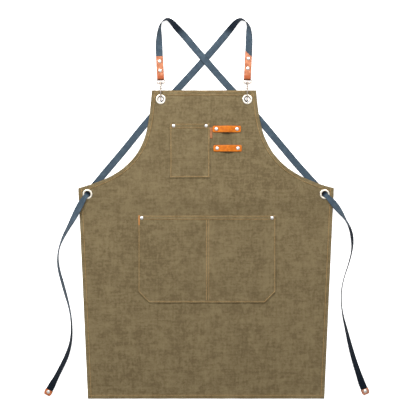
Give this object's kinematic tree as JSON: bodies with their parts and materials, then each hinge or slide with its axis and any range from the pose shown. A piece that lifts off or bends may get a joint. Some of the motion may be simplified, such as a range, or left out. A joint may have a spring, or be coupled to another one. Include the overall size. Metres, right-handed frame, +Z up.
{
  "type": "butcher apron",
  "caption": "Cross-back canvas work apron laid flat, with snap-hook leather shoulder tabs, webbing straps through side eyelets, pockets and leather tool loops.",
  "frame": {"origin": "middle of the footprint, straps left out, on the surface the apron lies on", "axes": "+Y from the hem to the shoulder tabs, +X to the right seen from the front, +Z up, out of the front face"},
  "size_m": [0.863, 1.0082, 0.0196],
  "materials": {
    "canvas": "waxed cotton canvas, mottled olive khaki",
    "webbing": "slate blue herringbone cotton webbing",
    "tan_leather": "smooth vegetable-tanned leather, darker at the fold",
    "orange_leather": "smooth orange leather",
    "rust_leather": "smooth rust-brown leather",
    "eyelet_nickel": "polished nickel plate",
    "rivet_nickel": "polished nickel plate",
    "hook_nickel": "bright nickel-plated zinc",
    "spring_steel": "drawn wire"
  },
  "bodies": {
    "apron": {"apron_panel": "canvas", "chest_pocket": "canvas", "chest_pocket_rivet_caps": "rivet_nickel", "chest_pocket_rivet_posts": "rivet_nickel", "chest_pocket_side_tab": "rust_leather", "left_hook_base_loop": "hook_nickel", "left_leather_tab": "tan_leather", "left_side_eyelet": "eyelet_nickel", "left_side_eyelet_washer": "eyelet_nickel", "left_strap_tip": "rust_leather", "left_tab_rivet_caps": "rivet_nickel", "left_tab_rivet_posts": "rivet_nickel", "left_tip_rivet_caps": "rivet_nickel", "left_tip_rivet_posts": "rivet_nickel", "left_top_eyelet": "eyelet_nickel", "left_top_eyelet_washer": "eyelet_nickel", "left_webbing_strap": "webbing", "lower_tool_loop": "orange_leather", "right_hook_base_loop": "hook_nickel", "right_leather_tab": "tan_leather", "right_side_eyelet": "eyelet_nickel", "right_side_eyelet_washer": "eyelet_nickel", "right_strap_tip": "rust_leather", "right_tab_rivet_caps": "rivet_nickel", "right_tab_rivet_posts": "rivet_nickel", "right_tip_rivet_caps": "rivet_nickel", "right_tip_rivet_posts": "rivet_nickel", "right_top_eyelet": "eyelet_nickel", "right_top_eyelet_washer": "eyelet_nickel", "right_webbing_strap": "webbing", "tool_loop_rivet_caps": "rivet_nickel", "tool_loop_rivet_posts": "rivet_nickel", "upper_tool_loop": "orange_leather", "waist_pocket": "canvas", "waist_pocket_rivet_caps": "rivet_nickel", "waist_pocket_rivet_posts": "rivet_nickel"},
    "left_hook": {"left_hook_body": "hook_nickel", "left_gate_pin": "hook_nickel", "left_gate_spring": "spring_steel"},
    "left_gate": {"left_hook_gate": "hook_nickel"},
    "right_hook": {"right_hook_body": "hook_nickel", "right_gate_pin": "hook_nickel", "right_gate_spring": "spring_steel"},
    "right_gate": {"right_hook_gate": "hook_nickel"}
  },
  "joints": [
    {"name": "left_hook_swivel", "type": "hinge", "parent": "apron", "child": "left_hook", "pos_m": [-0.1202, 0.3677, 0.0084], "axis": [0, 1, 0], "range_deg": [-30, 30]},
    {"name": "left_gate_open", "type": "hinge", "parent": "left_hook", "child": "left_gate", "pos_m": [-0.1202, 0.3597, 0.0145], "axis": [1, 0, 0], "range_deg": [0, 12], "stiffness_Nm_per_rad": 0.05, "springref_deg": -34.38},
    {"name": "right_hook_swivel", "type": "hinge", "parent": "apron", "child": "right_hook", "pos_m": [0.109, 0.3677, 0.0084], "axis": [0, 1, 0], "range_deg": [-30, 30]},
    {"name": "right_gate_open", "type": "hinge", "parent": "right_hook", "child": "right_gate", "pos_m": [0.109, 0.3597, 0.0145], "axis": [1, 0, 0], "range_deg": [0, 12], "stiffness_Nm_per_rad": 0.05, "springref_deg": -34.38}
  ]
}
